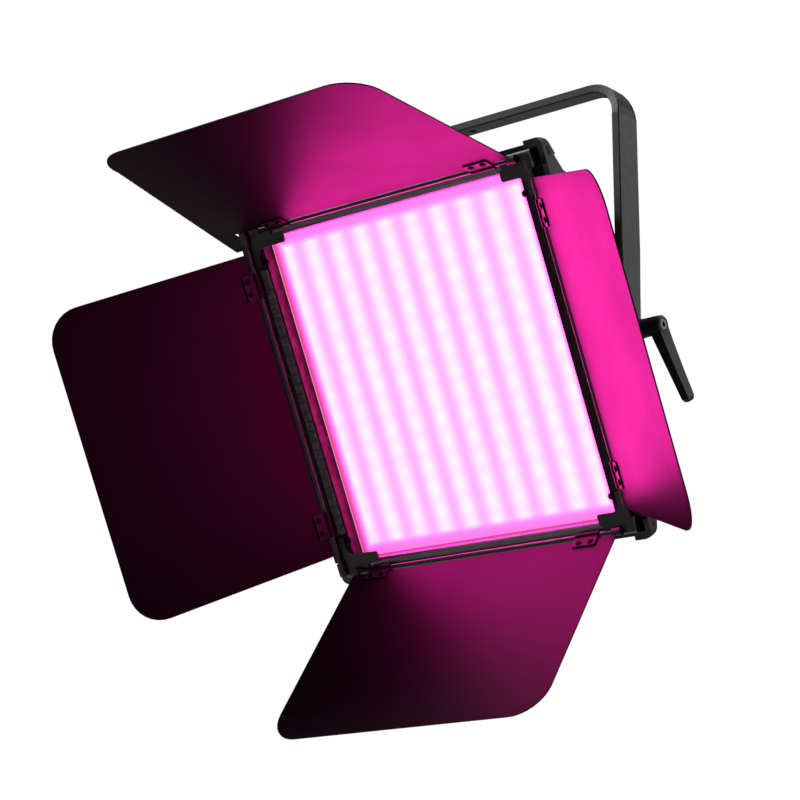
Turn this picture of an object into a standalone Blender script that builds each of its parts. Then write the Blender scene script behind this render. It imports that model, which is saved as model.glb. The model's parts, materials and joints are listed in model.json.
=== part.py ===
"""LED panel light: a tilting square head in a U yoke, with four barn-door leaves.

The world origin is on the upper face of the yoke's top bar, +Z up. The light faces -Y and down.
The head is modelled in its own frame, whose origin is on the tilt axis, and then tilted.
"""
import math

import bmesh
import bpy
from mathutils import Matrix, Vector

# Driving dimensions, in metres.
CLEAR = 0.0003                      # gap between touching pieces

YOKE_HALF = 0.177                   # tilt axis, centre to the arm's outer face
YOKE_DROP = 0.221                   # top face down to the tilt axis
BAR_THICK = 0.0075
ARM_HALF_WIDTH = 0.014
TOP_HALF_WIDTH = 0.008
ARM_FOOT_HALF = 0.0115
ARM_TAPER_START = 0.070             # height above the axis where the arm begins to narrow
BEND_RADIUS = 0.034
STUD_HOLE = 0.0045
MOUNT_HOLE = 0.0033
MOUNT_HOLE_X = 0.015

HEAD_TILT = math.radians(26.5)      # light turned down from level
LIGHT_UP = 0.004                    # light centre above the tilt axis

OPEN_HALF_X = 0.1385                # clear opening in the bezel
OPEN_HALF_Z = 0.1475
CASE_HALF_X = 0.1625
CASE_HALF_Z = 0.1658
CASE_WALL = 0.0034
SHOULDER = (-0.0279, CASE_HALF_Z)   # (depth, height) where the case starts to slope inward
WAIST = (-0.0139, 0.1375)           # where that slope eases
BACK_HALF_Z = 0.118                 # half height of the flat back
CASE_CORNER = 0.008
DIFFUSER_FRONT = -0.0285
DIFFUSER_THICK = 0.0025
BEZEL_FRONT = -0.0418
RAIL_ROUND = 0.0020
RAIL_NOSE = 0.0036                  # rounding of the top and bottom rails beside the opening
RAIL_EDGE = 0.0008                  # the same on the side rails
RAIL_LIP_ROUND = 0.0008             # outer rounding of the side rails' lips over the case's rim
RAIL_SEAT = -0.0312                 # behind this the top and bottom rails clear the case's slope
RAIL_SEAT_STEP = 0.0036
CASE_FRONT = -0.0340
CASE_BACK = 0.018
COVER_DEPTH = 0.009
COVER_CHAMFER = 0.006
COVER_RIM = 0.010
COVER_SKIN = 0.0026
VENT_ROWS = 2
VENT_COLUMNS = 9
VENT_PITCH = (0.026, 0.048)
VENT_HALF = (0.0024, 0.020)
VENT_LOW_Z = 0.030                  # centre of the lower row
RAIL_GAP = 0.0006                   # bezel and light engine to the case wall
REACH = 0.25                        # farther than any part of the light, for cutters

DIFFUSER_HALF_Z = 0.1520
TRAY_LIP = 0.0020                   # tray's front edge inside the diffuser's edge
TRAY_WALL = 0.0018
TRAY_WAIST = (-0.0165, 0.1335)      # (depth, half height) of the reflector tray's bend and back
TRAY_BACK = (-0.0060, 0.1265)
TRAY_FLOOR = 0.0010
TRAY_SIDE = 0.0040                  # tray's hollow past the opening, each side
BOARD_SIDE = 0.0030                 # LED board and heat sink past the opening, each side
LED_HALF = 0.0018                   # half width of a column of LEDs
BOARD_HALF_Z = 0.1240
BOARD_DEPTHS = (-0.0040, -0.0056, -0.0064)
LED_COLUMNS = 10
SINK_HALF_Z = 0.118
SINK_DEPTHS = (-0.0037, -0.0010, 0.0070)
SINK_FINS = 14
FIN_HALF = 0.0009
DRIVER_DEPTH = 0.0100
DRIVER_HALF = (0.070, 0.026)
DRIVER_THICK = 0.0016
COMPONENTS = ((-0.045, 0.010, 0.009), (-0.010, 0.013, 0.007), (0.040, 0.008, 0.010))
COMPONENT_SPAN = (-0.012, 0.014)    # along the board's height

BUMPER_REACH = 0.017
BUMPER_FRONT = -0.0365
BUMPER_BACK = -0.0150
BUMPER_OUT_X = 0.1640
BUMPER_OUT_Z = 0.1690
BUMPER_ROUND = 0.007
LIP_INSET = 0.0003                  # front lip inside the guard's outer faces
SLOPE_GAP = 0.0008                  # guard to the case's slope

ROD_RADIUS = 0.0022
ROD_Y = -0.0459
ROD_Z = 0.157                       # top and bottom rods
ROD_X = 0.153                       # side rods
ROD_HALF_TOP = 0.1405
ROD_HALF_SIDE = 0.1550

TAB_LOW = 0.1412                    # the door brackets' tabs over the diffuser
TAB_ROUND = 0.0018
TAB_START = {-1: 0.1115, 1: 0.1215}
LEG_END = (0.1245, 0.1250)          # where the bracket's two legs stop
PLATE_OUT = (0.1556, 0.1597)
PLATE_CHAMFER = (0.0066, 0.0067)
PLATE_IN_Z = 0.1512
PLATE_IN_X = 0.1440
HOLLOW_CENTRE = (0.1330, 0.1330)    # the plate's concave inner edge
HOLLOW_RADIUS = 0.0110
LUG_RADIUS = 0.0036
LUG_TOP = (0.1340, 0.1425)          # lug's span along the top or bottom rod
LUG_SIDE = (0.1470, 0.1585)
WEB = (-0.0028, 0.0026)             # lug's web across the rod
WEB_INSET = 0.0004

LEAF_LENGTH = 0.1975
LEAF_HALF = 0.139
LEAF_THICK = 0.0012
LEAF_ROOT = 0.0045                  # rod axis to the leaf's near edge
LEAF_CORNER = 0.030
LEAF_FLARE = 0.040                  # how far the top leaf widens at its hinge end, on one side
EAR_DEPTH = 0.030                   # its ear behind the hinge line, which shades the corner
EAR_NEAR = 0.0270                   # inner side of the ear, past the leaf's half width
EAR_FAR = 0.0482
EAR_STEP = 0.0210                   # the same beside the hinge line, in front of the corner guard
EAR_STEP_DEPTH = 0.0085
CLIP_OFFSET = 0.110
CLIP_HALF = 0.0115
CLIP_REACH = 0.0130
CLIP_THICK = 0.0010
CLIP_WRAP = 0.0034                  # outer radius around the rod
CLIP_END = 335                      # angle where the wrap stops, in degrees
# name, quarter turns about the light's axis, hinge radius, outward angle, flare
LEAVES = (
    ("top", 0, ROD_Z, math.radians(28.5), LEAF_FLARE),
    ("right", 1, ROD_X, math.radians(46.0), 0.0),
    ("bottom", 2, ROD_Z, math.radians(28.0), 0.0),
    ("left", 3, ROD_X, math.radians(26.0), 0.0),
)
CORNERS = (("top_left", -1, 1), ("top_right", 1, 1), ("bottom_right", 1, -1), ("bottom_left", -1, -1))

BOSS_RADIUS = 0.016
BOSS_HEIGHT = 0.0028
BOSS_CHAMFER = 0.0010
DISC_RADIUS = 0.0125
SHAFT_RADIUS = 0.0040
SHAFT_START = 0.1575                # inner end of the pivot bolt and of the clamp stud
BOLT_HEAD = ((0.0, 0.0088), (0.0030, 0.0088), (0.0055, 0.0060))
BOLT_SOCKET = (0.0029, 0.0025)      # radius, and depth kept under the socket
STUD_END = 0.1935
HUB_GAP = 0.0005
HUB_FLOOR = 0.1985                  # floor of the recess for the lever's screw
HUB_BORE = 0.0043
SCREW_SHANK = 0.0025
SCREW_HEAD = 0.0049
# distance from the hub's axis, half width, centre x, half thickness
LEVER_STATIONS = (
    (0.0, 0.0072, 0.2000, 0.0050),
    (0.016, 0.0066, 0.2012, 0.0044),
    (0.040, 0.0058, 0.2035, 0.0037),
    (0.0635, 0.0050, 0.2060, 0.0033),
    (0.0665, 0.0036, 0.2063, 0.0022),
)
LEVER_LEAN = math.radians(31.6)     # lever arm, back from straight down
LEVER_LIFT = 0.004
HUB_RADIUS = 0.0085
HUB_END = 0.206

PANEL_FACE = CASE_BACK + CLEAR + COVER_DEPTH
CONTROL_Z = -0.082                  # centre of the rear control panel
CONTROL_THICK = 0.0018
CONTROL_HALF = (0.085, 0.026)
DISPLAY_HALF = (0.024, 0.014)
DISPLAY_CENTRE = (-0.046, 0.004)    # places on the panel are (x, height above its centre)
DISPLAY_THICK = 0.0012
BUTTON_X = (-0.060, -0.046, -0.032)
BUTTON_UP = -0.018
BUTTON_HOLE = 0.0034
BUTTON_PROFILE = ((-0.0004, 0.0031), (0.0010, 0.0031), (0.0014, 0.0027))
KNOBS = (("brightness_knob", -0.004), ("colour_knob", 0.026))
KNOB_UP = 0.002
KNOB_PROFILE = ((CLEAR, 0.0095), (0.0012, 0.0095), (0.0020, 0.0085), (0.0118, 0.0078), (0.0128, 0.0066))
SWITCH_X = 0.050
SWITCH_HALF = (0.0065, 0.0115)
ROCKER_HALF_X = 0.0058
ROCKER = ((-0.0012, -0.0060), (0.0030, -0.0100), (0.0016, 0.0), (0.0030, 0.0100), (-0.0012, 0.0060))
INLET_CENTRE = (0.071, 0.010)
INLET_PROFILE = ((CLEAR, 0.0070), (0.0060, 0.0070), (0.0066, 0.0064))
INLET_WELL = (0.0040, 0.0018)       # radius, and floor above the panel
INLET_PIN = (0.0010, 0.0056)
PORT_CENTRE = (0.071, -0.0135)
PORT_HALF = (0.0070, 0.0045)
PORT_WALL = 0.0012
PORT_HEIGHTS = (CLEAR, 0.0032)
PORT_FLOOR = 0.0014


# Materials
def principled(name, colour, roughness, metallic=0.0):
    material = bpy.data.materials.new(name)
    material.use_nodes = True
    shader = material.node_tree.nodes["Principled BSDF"]
    shader.inputs["Base Color"].default_value = (*colour, 1.0)
    shader.inputs["Roughness"].default_value = roughness
    shader.inputs["Metallic"].default_value = metallic
    return material


def build_materials():
    return {
        "yoke_paint": principled("yoke_paint", (0.045, 0.045, 0.043), 0.42),
        "leaf_paint": principled("leaf_paint", (0.018, 0.017, 0.018), 0.55),
        "case_paint": principled("case_paint", (0.022, 0.022, 0.023), 0.50),
        "black_plastic": principled("black_plastic", (0.014, 0.014, 0.015), 0.48),
        "bezel_metal": principled("bezel_metal", (0.30, 0.30, 0.31), 0.32, 1.0),
        "rod_steel": principled("rod_steel", (0.10, 0.10, 0.11), 0.28, 1.0),
        "zinc_steel": principled("zinc_steel", (0.50, 0.50, 0.52), 0.30, 1.0),
        "raw_aluminium": principled("raw_aluminium", (0.72, 0.72, 0.74), 0.40, 1.0),
        "opal": principled("opal", (0.95, 0.93, 0.95), 0.45),
        "white_plastic": principled("white_plastic", (0.85, 0.85, 0.85), 0.45),
        "circuit": principled("circuit", (0.03, 0.12, 0.06), 0.45),
        "nylon": principled("nylon", (0.03, 0.03, 0.03), 0.60),
        "window": principled("window", (0.02, 0.02, 0.025), 0.08),
        "knob_rubber": principled("knob_rubber", (0.03, 0.03, 0.03), 0.75),
    }


# Outlines
def arc(centre_a, centre_b, radius, start, stop, steps):
    """Points on a circular arc, angles in degrees."""
    points = []
    for step in range(steps + 1):
        angle = math.radians(start + (stop - start) * step / steps)
        points.append((centre_a + radius * math.cos(angle), centre_b + radius * math.sin(angle)))
    return points


def rounded_rectangle(half_a, half_b, radius, steps=4):
    points = []
    inner_a = half_a - radius
    inner_b = half_b - radius
    for start, sign_a, sign_b in ((0, 1, 1), (90, -1, 1), (180, -1, -1), (270, 1, -1)):
        points += arc(sign_a * inner_a, sign_b * inner_b, radius, start, start + 90, steps)
    return points


def circle(centre_a, centre_b, radius, sides):
    return arc(centre_a, centre_b, radius, 0, 360 - 360 / sides, sides - 1)


def box_outline(a_low, a_high, b_low, b_high):
    return [(a_low, b_low), (a_high, b_low), (a_high, b_high), (a_low, b_high)]


def shifted(points, move_a, move_b):
    return [(a + move_a, b + move_b) for a, b in points]


def mirrored(points, sign_a, sign_b):
    return [(a * sign_a, b * sign_b) for a, b in points]


# Solids
def finish_object(name, bm, material, parent, smooth_angle):
    bmesh.ops.recalc_face_normals(bm, faces=bm.faces)
    mesh = bpy.data.meshes.new(name)
    bm.to_mesh(mesh)
    bm.free()
    if smooth_angle:
        mesh.shade_smooth()
        mesh.set_sharp_from_angle(angle=math.radians(smooth_angle))
    body = bpy.data.objects.new(name, mesh)
    bpy.context.scene.collection.objects.link(body)
    if material:
        mesh.materials.append(material)
    body.parent = parent
    return body


def point_on(axis, a, b, along):
    """A point from an outline's two coordinates and the one along the extrusion axis."""
    return {"X": (along, a, b), "Y": (a, along, b), "Z": (a, b, along)}[axis]


def prism(name, outline, axis, low, high, material=None, parent=None, smooth_angle=35):
    bm = bmesh.new()
    bottom = [bm.verts.new(point_on(axis, a, b, low)) for a, b in outline]
    top = [bm.verts.new(point_on(axis, a, b, high)) for a, b in outline]
    bm.faces.new(bottom)
    bm.faces.new(top)
    count = len(outline)
    for index in range(count):
        after = (index + 1) % count
        bm.faces.new((bottom[index], bottom[after], top[after], top[index]))
    return finish_object(name, bm, material, parent, smooth_angle)


def loft(name, sections, material, parent, smooth_angle=35):
    """A closed body through rings of points that all have the same count."""
    bm = bmesh.new()
    rings = [[bm.verts.new(point) for point in section] for section in sections]
    bm.faces.new(rings[0])
    bm.faces.new(rings[-1])
    for lower, upper in zip(rings, rings[1:]):
        count = len(lower)
        for index in range(count):
            after = (index + 1) % count
            bm.faces.new((lower[index], lower[after], upper[after], upper[index]))
    return finish_object(name, bm, material, parent, smooth_angle)


def turned(name, profile, axis, centre, material, parent, sides=24):
    """A turned body: profile points are (distance along the axis, radius), ends closed."""
    sections = []
    for along, radius in profile:
        ring = []
        for a, b in circle(centre[0], centre[1], radius, sides):
            ring.append(point_on(axis, a, b, along))
        sections.append(ring)
    return loft(name, sections, material, parent, 30)


def combine(target, operand, operation):
    modifier = target.modifiers.new(operand.name, "BOOLEAN")
    modifier.operation = operation
    modifier.solver = "EXACT"
    modifier.object = operand
    operand.hide_render = True
    operand.display_type = "WIRE"


def cut(target, operand):
    combine(target, operand, "DIFFERENCE")


def join(target, operand):
    combine(target, operand, "UNION")


def empty(name, parent, matrix):
    frame = bpy.data.objects.new(name, None)
    bpy.context.scene.collection.objects.link(frame)
    frame.parent = parent
    frame.matrix_local = matrix
    return frame


# Yoke
def yoke_half_width(height):
    """Half width of the bar at a height above the tilt axis, along an arm or its bend."""
    if height < ARM_TAPER_START:
        share = max(height, 0.0) / ARM_TAPER_START
        return ARM_FOOT_HALF + (ARM_HALF_WIDTH - ARM_FOOT_HALF) * share
    bend_start = YOKE_DROP - BEND_RADIUS
    if height < bend_start:
        return ARM_HALF_WIDTH
    share = min((height - bend_start) / BEND_RADIUS, 1.0)
    return ARM_HALF_WIDTH + (TOP_HALF_WIDTH - ARM_HALF_WIDTH) * share


def yoke_stations():
    """(x, height, outward angle, half width) of the bar's outer face, right foot to top centre."""
    stations = []
    for step in range(7):
        angle = math.radians(-90 + 80 * step / 6)
        reach = ARM_FOOT_HALF * math.sin(angle)
        stations.append((YOKE_HALF, reach, 0.0, ARM_FOOT_HALF * math.cos(angle) + 0.0008))
    for height in (ARM_TAPER_START * 0.5, ARM_TAPER_START, YOKE_DROP - BEND_RADIUS):
        stations.append((YOKE_HALF, height, 0.0, yoke_half_width(height)))
    centre_x = YOKE_HALF - BEND_RADIUS
    centre_height = YOKE_DROP - BEND_RADIUS
    for step in range(1, 9):
        turn = math.radians(90 * step / 8)
        height = centre_height + BEND_RADIUS * math.sin(turn)
        x = centre_x + BEND_RADIUS * math.cos(turn)
        stations.append((x, height, turn, yoke_half_width(height)))
    return stations


def bar_section(x, height, turn, half_width):
    """The bar's rectangular section with small chamfers, at one station."""
    chamfer = min(0.0009, half_width * 0.4)
    depth = BAR_THICK
    corners = []
    for across, inward in ((-1, 0), (1, 0), (1, 1), (-1, 1)):
        edge = across * half_width
        pair = [(edge, abs(inward * depth - chamfer)), (edge - across * chamfer, inward * depth)]
        if (across, inward) in ((1, 0), (-1, 1)):
            pair.reverse()
        corners += pair
    outward = Vector((math.cos(turn), 0.0, math.sin(turn)))
    base = Vector((x, 0.0, height - YOKE_DROP))
    return [base - outward * inward + Vector((0.0, across, 0.0)) for across, inward in corners]


def build_yoke(mats):
    right = yoke_stations()
    left = [(-x, height, math.pi - turn, half) for x, height, turn, half in reversed(right)]
    sections = [bar_section(*station) for station in right + left]
    yoke = loft("yoke_bracket", sections, mats["yoke_paint"], None, 30)
    stud_hole = prism("stud_hole", circle(0, -YOKE_DROP, STUD_HOLE, 24), "X", -REACH, REACH)
    cut(yoke, stud_hole)
    for side in (-1, 1):
        hole = circle(side * MOUNT_HOLE_X, 0, MOUNT_HOLE, 20)
        cut(yoke, prism(f"mount_hole_{side}", hole, "Z", -0.02, 0.01))


def build_pivots(mats, head):
    """The boss and friction disc on each side, and the plain pivot bolt on the left."""
    axis = (0, -YOKE_DROP)
    for side, name in ((1, "right"), (-1, "left")):
        boss_in = CASE_HALF_X + CLEAR
        boss_out = boss_in + BOSS_HEIGHT
        profile = [(side * boss_in, BOSS_RADIUS), (side * (boss_out - BOSS_CHAMFER), BOSS_RADIUS),
                   (side * boss_out, BOSS_RADIUS - BOSS_CHAMFER)]
        boss = turned(f"pivot_boss_{name}", profile, "X", (0, 0), mats["black_plastic"], head, 32)
        cut(boss, prism(f"boss_bore_{name}", circle(0, 0, STUD_HOLE, 24), "X", -REACH, REACH, parent=head))
        profile = [(side * (boss_out + CLEAR), DISC_RADIUS),
                   (side * (YOKE_HALF - BAR_THICK - CLEAR), DISC_RADIUS)]
        disc = turned(f"friction_disc_{name}", profile, "X", axis, mats["nylon"], None, 32)
        cut(disc, prism(f"disc_bore_{name}", circle(*axis, STUD_HOLE, 24), "X", -REACH, REACH))
    head_start = YOKE_HALF + CLEAR
    profile = [(-SHAFT_START, SHAFT_RADIUS), (-head_start, SHAFT_RADIUS)]
    profile += [(-head_start - out, radius) for out, radius in BOLT_HEAD]
    bolt = turned("left_pivot_bolt", profile, "X", axis, mats["zinc_steel"], None, 24)
    socket = circle(*axis, BOLT_SOCKET[0], 6)
    cut(bolt, prism("bolt_socket", socket, "X", -REACH, -head_start - BOLT_SOCKET[1]))


def lever_section(distance, half_across, x_centre, half_x):
    """One rectangular ring of the lever's arm, at a distance from the hub's axis."""
    down = Vector((0.0, math.sin(LEVER_LEAN), -math.cos(LEVER_LEAN)))
    across = Vector((0.0, math.cos(LEVER_LEAN), math.sin(LEVER_LEAN)))
    base = Vector((x_centre, 0.0, -YOKE_DROP)) + down * distance
    ring = []
    for sign_x, sign_across in ((-1, -1), (1, -1), (1, 1), (-1, 1)):
        ring.append(base + Vector((sign_x * half_x, 0.0, 0.0)) + across * sign_across * half_across)
    return ring


def build_clamp(mats):
    """The ratchet clamping lever on the right pivot: stud, handle and its retaining screw."""
    axis = (0, -YOKE_DROP)
    hub_start = YOKE_HALF + HUB_GAP
    turned("clamp_stud", [(SHAFT_START, SHAFT_RADIUS), (STUD_END, SHAFT_RADIUS)], "X", axis,
           mats["zinc_steel"], None, 20)
    profile = [(hub_start, HUB_RADIUS), (hub_start + 0.0140, HUB_RADIUS - 0.0008),
               (hub_start + 0.0200, HUB_RADIUS - 0.0005), (HUB_END - 0.0015, HUB_RADIUS - 0.0007),
               (HUB_END, HUB_RADIUS - 0.0019)]
    handle = turned("lever_handle", profile, "X", axis, mats["black_plastic"], None, 28)
    join(handle, loft("lever_arm", [lever_section(*station) for station in LEVER_STATIONS], None, None))
    cut(handle, prism("hub_bore", circle(*axis, HUB_BORE, 20), "X", 0, HUB_FLOOR - LEVER_LIFT))
    cut(handle, prism("hub_through", circle(*axis, SCREW_SHANK + 0.0004, 20), "X", 0, REACH))
    cut(handle, prism("hub_recess", circle(*axis, SCREW_HEAD + 0.0004, 24), "X", HUB_FLOOR, REACH))
    head_in = HUB_FLOOR + LEVER_LIFT + 0.0004
    profile = [(STUD_END + CLEAR, SCREW_SHANK), (head_in, SCREW_SHANK), (head_in, SCREW_HEAD),
               (HUB_END - 0.0004, SCREW_HEAD), (HUB_END - 0.0001, SCREW_HEAD - 0.0004)]
    screw = turned("lever_screw", profile, "X", axis, mats["zinc_steel"], None, 24)
    cut(screw, prism("screw_socket", circle(*axis, SCREW_SHANK, 6), "X", HUB_END - 0.0020, REACH))


# Head
def case_profile(inset):
    """The case's side outline as (depth, height), moved inward by a wall thickness, top half."""
    first = (WAIST[0] - SHOULDER[0], WAIST[1] - SHOULDER[1])
    second = (CASE_BACK - WAIST[0], BACK_HALF_Z - WAIST[1])
    lines = []
    for start, along in ((SHOULDER, first), (WAIST, second)):
        length = math.hypot(*along)
        normal = (along[1] / length, -along[0] / length)
        base = (start[0] + normal[0] * inset, start[1] + normal[1] * inset)
        lines.append((base, along[1] / along[0]))
    (base_a, slope_a), (base_b, slope_b) = lines
    top = CASE_HALF_Z - inset
    shoulder = base_a[0] + (top - base_a[1]) / slope_a
    waist = (base_b[1] - base_a[1] + slope_a * base_a[0] - slope_b * base_b[0]) / (slope_a - slope_b)
    waist_height = base_a[1] + slope_a * (waist - base_a[0])
    back_height = base_b[1] + slope_b * (CASE_BACK - base_b[0])
    return [(shoulder, top), (waist, waist_height), (CASE_BACK, back_height)]


def side_outline(front, inset, behind):
    """A whole side outline: straight to the front, and straight back past the case by `behind`."""
    upper = [(front, CASE_HALF_Z - inset)] + case_profile(inset)
    if behind:
        upper.append((CASE_BACK + behind, upper[-1][1]))
    return upper + [(depth, -height) for depth, height in reversed(upper)]


def build_case(mats, light, head):
    outer = rounded_rectangle(CASE_HALF_X, CASE_HALF_Z, CASE_CORNER)
    inner_x = CASE_HALF_X - CASE_WALL
    case = prism("housing_shell", outer, "Y", CASE_FRONT, CASE_BACK, mats["case_paint"], light)
    shape = prism("case_shape", side_outline(CASE_FRONT - 0.01, 0.0, 0.0), "X", -REACH, REACH, parent=light)
    combine(case, shape, "INTERSECT")
    hollow = side_outline(CASE_FRONT - 0.01, CASE_WALL, 0.01)
    cut(case, prism("case_hollow", hollow, "X", -inner_x, inner_x, parent=light))
    cut(case, prism("case_stud_hole", circle(0, 0, STUD_HOLE, 24), "X", -REACH, REACH, parent=head))
    build_cover(mats, light)


def build_cover(mats, light):
    """The flat back cover, with two rows of vent slots."""
    low = CASE_BACK + CLEAR
    high = low + COVER_DEPTH
    rings = ((low, 0.0), (high - COVER_CHAMFER, 0.0), (high, COVER_CHAMFER))
    sections = []
    for along, less in rings:
        outline = rounded_rectangle(CASE_HALF_X - less, BACK_HALF_Z - less, CASE_CORNER)
        sections.append([point_on("Y", a, b, along) for a, b in outline])
    cover = loft("back_cover", sections, mats["case_paint"], light)
    hollow = rounded_rectangle(CASE_HALF_X - COVER_RIM, BACK_HALF_Z - COVER_RIM, COVER_RIM / 2)
    cut(cover, prism("cover_hollow", hollow, "Y", low - 0.01, high - COVER_SKIN, parent=light))
    vent = rounded_rectangle(VENT_HALF[0], VENT_HALF[1], VENT_HALF[0] - 0.0001, 3)
    for row in range(VENT_ROWS):
        for column in range(VENT_COLUMNS):
            centre_x = (column - (VENT_COLUMNS - 1) / 2) * VENT_PITCH[0]
            slot = shifted(vent, centre_x, VENT_LOW_Z + row * VENT_PITCH[1])
            cut(cover, prism(f"vent_{row}_{column}", slot, "Y", 0.0, REACH, parent=light))


def rail_profile(inner, outer, round_in):
    """Top or bottom rail section: (distance from the light's axis, depth), rounded at the front."""
    points = [(inner, DIFFUSER_FRONT - CLEAR), (outer - RAIL_SEAT_STEP, DIFFUSER_FRONT - CLEAR)]
    points.append((outer, RAIL_SEAT))
    points += arc(outer - RAIL_ROUND, BEZEL_FRONT + RAIL_ROUND, RAIL_ROUND, 0, -90, 3)
    points += arc(inner + round_in, BEZEL_FRONT + round_in, round_in, -90, -180, 6)
    return points


def side_rail_profile(inner, outer):
    """Side rail section, with a lip that covers the case's rim as far as its outer face."""
    lip_back = CASE_FRONT - CLEAR
    points = [(inner, DIFFUSER_FRONT - CLEAR), (outer, DIFFUSER_FRONT - CLEAR), (outer, lip_back),
              (CASE_HALF_X, lip_back)]
    points += arc(CASE_HALF_X - RAIL_LIP_ROUND, BEZEL_FRONT + RAIL_LIP_ROUND, RAIL_LIP_ROUND, 0, -90, 3)
    points += arc(inner + RAIL_EDGE, BEZEL_FRONT + RAIL_EDGE, RAIL_EDGE, -90, -180, 6)
    return points


def build_bezel(mats, light):
    """Four rails around the opening, inside the case's rim."""
    out_x = CASE_HALF_X - CASE_WALL - RAIL_GAP
    out_z = CASE_HALF_Z - CASE_WALL - RAIL_GAP
    end = out_x - (CASE_CORNER - CASE_WALL)
    for name, side in (("top", 1), ("bottom", -1)):
        profile = [(depth, side * distance) for distance, depth in rail_profile(OPEN_HALF_Z, out_z, RAIL_NOSE)]
        prism(f"bezel_rail_{name}", profile, "X", -end, end, mats["bezel_metal"], light, 50)
    half = OPEN_HALF_Z - CLEAR
    for name, side in (("right", 1), ("left", -1)):
        profile = [(side * distance, depth) for distance, depth in side_rail_profile(OPEN_HALF_X, out_x)]
        prism(f"bezel_rail_{name}", profile, "Z", -half, half, mats["bezel_metal"], light, 50)


def comb_outline(half, base, tip, teeth, tooth_half):
    """A strip along x from -half to half, with equal teeth standing on its far side."""
    points = [(half, base[0]), (half, base[1])]
    pitch = 2 * half / teeth
    for index in range(teeth):
        centre = half - pitch * (index + 0.5)
        points += [(centre + tooth_half, base[1]), (centre + tooth_half, tip)]
        points += [(centre - tooth_half, tip), (centre - tooth_half, base[1])]
    points += [(-half, base[1]), (-half, base[0])]
    return points


def tray_body(name, stations, half_x, corner, material, light):
    """A rectangular body whose half height changes with depth."""
    sections = []
    for depth, half_z in stations:
        outline = rounded_rectangle(half_x, half_z, corner, 2)
        sections.append([point_on("Y", a, b, depth) for a, b in outline])
    return loft(name, sections, material, light)


def build_light_engine(mats, light):
    """Diffuser, reflector tray, LED board with ten columns, heat sink and driver board."""
    plate_x = CASE_HALF_X - CASE_WALL - RAIL_GAP
    back = DIFFUSER_FRONT + DIFFUSER_THICK
    corner = CASE_CORNER - CASE_WALL
    prism("diffuser", rounded_rectangle(plate_x, DIFFUSER_HALF_Z, corner, 2), "Y", DIFFUSER_FRONT, back,
          mats["opal"], light)
    tray_front = DIFFUSER_HALF_Z - TRAY_LIP
    stations = ((back + CLEAR, tray_front), TRAY_WAIST, TRAY_BACK)
    tray = tray_body("reflector_tray", stations, plate_x, corner, mats["white_plastic"], light)
    floor_half = TRAY_BACK[1] - TRAY_WALL
    hollow = ((back - DIFFUSER_THICK, DIFFUSER_HALF_Z), (back, tray_front - TRAY_WALL),
              (TRAY_WAIST[0], TRAY_WAIST[1] - TRAY_WALL), (TRAY_BACK[0] + TRAY_FLOOR, floor_half))
    cut(tray, tray_body("tray_hollow", hollow, OPEN_HALF_X + TRAY_SIDE, TRAY_WALL, None, light))
    board_x = OPEN_HALF_X + BOARD_SIDE
    profile = comb_outline(board_x, BOARD_DEPTHS[:2], BOARD_DEPTHS[2], LED_COLUMNS, LED_HALF)
    prism("led_board", profile, "Z", -BOARD_HALF_Z, BOARD_HALF_Z, mats["circuit"], light, 0)
    fins = comb_outline(board_x, SINK_DEPTHS[:2], SINK_DEPTHS[2], SINK_FINS, FIN_HALF)
    prism("heat_sink", fins, "Z", -SINK_HALF_Z, SINK_HALF_Z, mats["raw_aluminium"], light, 0)
    half_x, half_z = DRIVER_HALF
    outline = box_outline(-half_x, half_x, CONTROL_Z - half_z, CONTROL_Z + half_z)
    board_top = DRIVER_DEPTH + DRIVER_THICK
    board = prism("driver_board", outline, "Y", DRIVER_DEPTH, board_top, mats["circuit"], light, 0)
    low, high = (CONTROL_Z + height for height in COMPONENT_SPAN)
    for index, (x, half, height) in enumerate(COMPONENTS):
        part = box_outline(x - half, x + half, low, high)
        join(board, prism(f"component_{index}", part, "Y", board_top - DRIVER_THICK / 2,
                          board_top + height, parent=light))


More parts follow.
